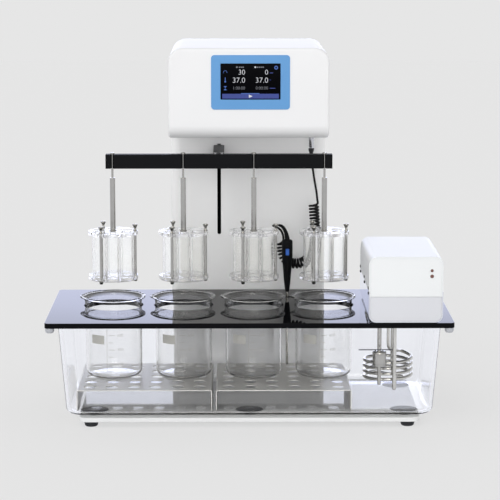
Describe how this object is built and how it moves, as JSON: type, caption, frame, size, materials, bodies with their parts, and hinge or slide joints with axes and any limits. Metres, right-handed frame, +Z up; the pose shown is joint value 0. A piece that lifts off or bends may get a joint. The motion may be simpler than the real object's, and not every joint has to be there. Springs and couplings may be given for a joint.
{
  "type": "tablet disintegration tester",
  "caption": "Bench tester that dips clear tube baskets into glass beakers in a heated water bath, with a display head, a sliding beam lift, a lid, a heater and a probe.",
  "frame": {"origin": "middle of the footprint at the bench: between the lid's front edge and the tower's back, below the lid's middle", "axes": "+X to the right, +Y to the back, +Z up; the display faces -Y"},
  "size_m": [0.718, 0.4524, 0.662],
  "materials": {
    "base": "satin moulded",
    "foot_rubber": "matt",
    "casing": "satin white powder coat",
    "rear_cover": "satin white powder coat",
    "bezel": "satin light blue",
    "screen": "black display glass",
    "board": "circuit board",
    "sheet_steel": "zinc plated",
    "black_plastic": "fine texture",
    "socket_metal": "plated",
    "seal_rubber": "matt",
    "drive_aluminium": "milled",
    "motor": "black",
    "polished_steel": "ground",
    "bush_brass": "turned",
    "arm_paint": "dark anodised",
    "beam_paint": "black anodised",
    "screw_steel": "bright",
    "clear_tub": "clear moulded",
    "pad_rubber": "matt",
    "tray_steel": "satin perforated",
    "lid_acrylic": "polished dark",
    "buffer": "smooth",
    "heater_low": "satin light grey",
    "heater_white": "satin white",
    "lamp": "lens",
    "coil_steel": "polished stainless",
    "pump_steel": "turned",
    "probe_black": "satin",
    "button_blue": "satin",
    "cord_black": "satin",
    "beaker_glass": "clear borosilicate",
    "basket_clear": "clear polished",
    "tube_glass": "clear",
    "basket_steel": "polished stainless"
  },
  "bodies": {
    "chassis": {"base_plate": "base", "rubber_feet": "foot_rubber", "tower_shell": "casing", "rear_cover": "rear_cover", "head_shell": "casing", "display_bezel": "bezel", "display_panel": "screen", "control_board": "board", "power_supply": "sheet_steel", "power_inlet": "black_plastic", "probe_socket": "socket_metal", "slot_seal": "seal_rubber", "drive_frame": "drive_aluminium", "drive_motor": "motor", "guide_rods": "polished_steel", "screw_bearings": "drive_aluminium", "bath": "clear_tub", "bath_pads": "pad_rubber", "beaker_tray_left": "tray_steel", "beaker_tray_right": "tray_steel", "cord_lead": "cord_black", "cord_curl": "cord_black"},
    "lift": {"carriage": "drive_aluminium", "carriage_bushes": "bush_brass", "lift_arm": "arm_paint", "lift_beam": "beam_paint", "beam_screws": "screw_steel"},
    "screw": {"lead_screw": "polished_steel", "shaft_coupling": "drive_aluminium"},
    "lid": {"lid": "lid_acrylic", "lid_buffers": "buffer", "heater_base": "heater_low", "heater_cover": "heater_white", "heater_lamps": "lamp", "heater_coil": "coil_steel", "pump_motor": "motor", "pump_housing": "coil_steel"},
    "pump": {"pump_rotor": "pump_steel"},
    "probe": {"probe_handle": "probe_black", "probe_stem": "polished_steel", "probe_relief": "probe_black", "cord_hook": "cord_black"},
    "button": {"probe_button": "button_blue"},
    "rocker": {"power_switch": "black_plastic"},
    "beaker_1": {"beaker_1": "beaker_glass"},
    "basket_1": {"basket_1_plates": "basket_clear", "basket_1_tubes": "tube_glass", "basket_1_frame": "basket_steel"},
    "beaker_2": {"beaker_2": "beaker_glass"},
    "basket_2": {"basket_2_plates": "basket_clear", "basket_2_tubes": "tube_glass", "basket_2_frame": "basket_steel"},
    "beaker_3": {"beaker_3": "beaker_glass"},
    "basket_3": {"basket_3_plates": "basket_clear", "basket_3_tubes": "tube_glass", "basket_3_frame": "basket_steel"},
    "beaker_4": {"beaker_4": "beaker_glass"},
    "basket_4": {"basket_4_plates": "basket_clear", "basket_4_tubes": "tube_glass", "basket_4_frame": "basket_steel"}
  },
  "joints": [
    {"name": "lift_slide", "type": "slide", "parent": "chassis", "child": "lift", "axis": [0, 0, 1], "range_m": [-0.145, 0]},
    {"name": "screw_turn", "type": "hinge", "parent": "chassis", "child": "screw", "pos_m": [-0.055, 0.14625, 0.3], "axis": [0, 0, 1], "range_deg": [-2612, 0]},
    {"name": "lid_lift", "type": "slide", "parent": "chassis", "child": "lid", "axis": [0, 0, 1], "range_m": [0, 0.007]},
    {"name": "pump_turn", "type": "hinge", "parent": "lid", "child": "pump", "pos_m": [0.23, -0.18575, 0.12], "axis": [0, 0, 1], "continuous": true},
    {"name": "probe_draw", "type": "slide", "parent": "chassis", "child": "probe", "axis": [0, 0, 1], "range_m": [0, 0.05]},
    {"name": "button_press", "type": "slide", "parent": "probe", "child": "button", "axis": [0, 1, 0], "range_m": [0, 0.001], "stiffness_N_per_m": 300, "springref_m": -0.0005},
    {"name": "switch_rock", "type": "hinge", "parent": "chassis", "child": "rocker", "pos_m": [0.045, 0.21725, 0.09], "axis": [1, 0, 0], "range_deg": [-11, 11]},
    {"name": "beaker_1_lift", "type": "slide", "parent": "chassis", "child": "beaker_1", "axis": [0, 0, 1], "range_m": [0, 0.015]},
    {"name": "basket_1_unhook", "type": "slide", "parent": "lift", "child": "basket_1", "axis": [0, 0, 1], "range_m": [0, 0.012]},
    {"name": "beaker_2_lift", "type": "slide", "parent": "chassis", "child": "beaker_2", "axis": [0, 0, 1], "range_m": [0, 0.015]},
    {"name": "basket_2_unhook", "type": "slide", "parent": "lift", "child": "basket_2", "axis": [0, 0, 1], "range_m": [0, 0.012]},
    {"name": "beaker_3_lift", "type": "slide", "parent": "chassis", "child": "beaker_3", "axis": [0, 0, 1], "range_m": [0, 0.015]},
    {"name": "basket_3_unhook", "type": "slide", "parent": "lift", "child": "basket_3", "axis": [0, 0, 1], "range_m": [0, 0.012]},
    {"name": "beaker_4_lift", "type": "slide", "parent": "chassis", "child": "beaker_4", "axis": [0, 0, 1], "range_m": [0, 0.015]},
    {"name": "basket_4_unhook", "type": "slide", "parent": "lift", "child": "basket_4", "axis": [0, 0, 1], "range_m": [0, 0.012]}
  ],
  "couplings": [
    {"joint": "screw_turn", "follows": "lift_slide", "rad_per_m": 314.16}
  ]
}
